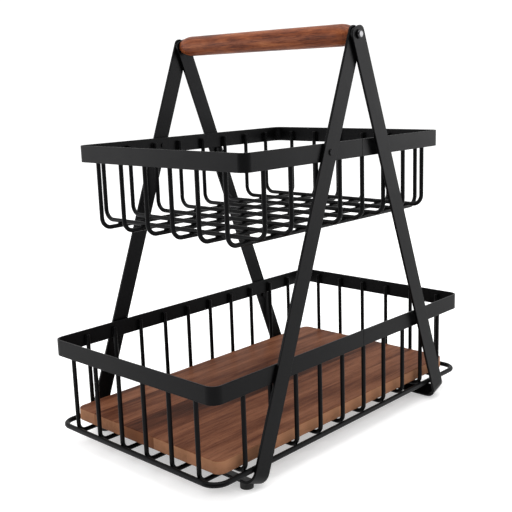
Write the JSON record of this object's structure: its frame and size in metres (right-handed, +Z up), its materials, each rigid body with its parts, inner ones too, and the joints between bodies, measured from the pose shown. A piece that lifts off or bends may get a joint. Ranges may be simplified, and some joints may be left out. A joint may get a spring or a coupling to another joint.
{
  "type": "tiered wire basket",
  "caption": "Two-tier wire basket on crossed flat-bar leg frames with a turned wooden carry grip and a loose wooden board.",
  "frame": {"origin": "on the table, under the middle of the grip", "axes": "+X along the baskets, +Y along the grip, +Z up"},
  "size_m": [0.3826, 0.2392, 0.3905],
  "materials": {
    "black_steel": "matte powder coat",
    "bright_steel": "satin",
    "board_wood": "oiled, satin",
    "grip_wood": "lacquered, satin",
    "black_rubber": "matte"
  },
  "bodies": {
    "left_frame": {"leg_frame_left": "black_steel", "front_left_pad": "black_rubber", "back_left_pad": "black_rubber", "front_left_lower_ledge": "black_steel", "back_left_lower_ledge": "black_steel", "front_rim_rivet": "black_steel", "back_rim_rivet": "black_steel", "rivet_spacer": "black_steel", "handle_washers": "black_steel"},
    "right_frame": {"leg_frame_right": "black_steel", "front_right_pad": "black_rubber", "back_right_pad": "black_rubber", "front_right_lower_ledge": "black_steel", "back_right_lower_ledge": "black_steel", "front_right_upper_ledge": "black_steel", "back_right_upper_ledge": "black_steel"},
    "upper_basket": {"upper_rim": "black_steel", "upper_cross_wire_1": "black_steel", "upper_cross_wire_2": "black_steel", "upper_cross_wire_3": "black_steel", "upper_cross_wire_4": "black_steel", "upper_cross_wire_5": "black_steel", "upper_cross_wire_6": "black_steel", "upper_cross_wire_7": "black_steel", "upper_cross_wire_8": "black_steel", "upper_long_wire_1": "black_steel", "upper_long_wire_2": "black_steel", "upper_long_wire_3": "black_steel", "upper_long_wire_4": "black_steel", "upper_long_wire_5": "black_steel", "upper_long_wire_6": "black_steel"},
    "lower_basket": {"lower_rim": "black_steel", "lower_base_ring": "black_steel", "lower_cross_wire_1": "black_steel", "lower_cross_wire_2": "black_steel", "lower_cross_wire_3": "black_steel", "lower_cross_wire_4": "black_steel", "lower_cross_wire_5": "black_steel", "lower_cross_wire_6": "black_steel", "lower_cross_wire_7": "black_steel", "lower_cross_wire_8": "black_steel", "lower_cross_wire_9": "black_steel", "lower_cross_wire_10": "black_steel", "lower_long_wire_1": "black_steel", "lower_long_wire_2": "black_steel", "lower_long_wire_3": "black_steel", "lower_long_wire_4": "black_steel", "lower_long_wire_5": "black_steel", "lower_long_wire_6": "black_steel"},
    "board": {"base_board": "board_wood"},
    "grip": {"handle_grip": "grip_wood", "handle_screws": "bright_steel", "handle_inserts": "bright_steel", "handle_collars": "black_steel"}
  },
  "joints": [
    {"name": "frame_fold", "type": "hinge", "parent": "left_frame", "child": "right_frame", "pos_m": [0, 0, 0.3805], "axis": [0, 1, 0], "range_deg": [0, 33]},
    {"name": "upper_basket_tilt", "type": "hinge", "parent": "left_frame", "child": "upper_basket", "pos_m": [-0.03798, 0, 0.28], "axis": [0, -1, 0], "range_deg": [0, 55]},
    {"name": "lower_basket_lift", "type": "slide", "parent": "left_frame", "child": "lower_basket", "axis": [0, 0, 1], "range_m": [0, 0.035]},
    {"name": "board_lift", "type": "slide", "parent": "lower_basket", "child": "board", "axis": [0, 0, 1], "range_m": [0, 0.07]},
    {"name": "grip_turn", "type": "hinge", "parent": "left_frame", "child": "grip", "pos_m": [0, 0, 0.3805], "axis": [0, 1, 0], "continuous": true}
  ]
}
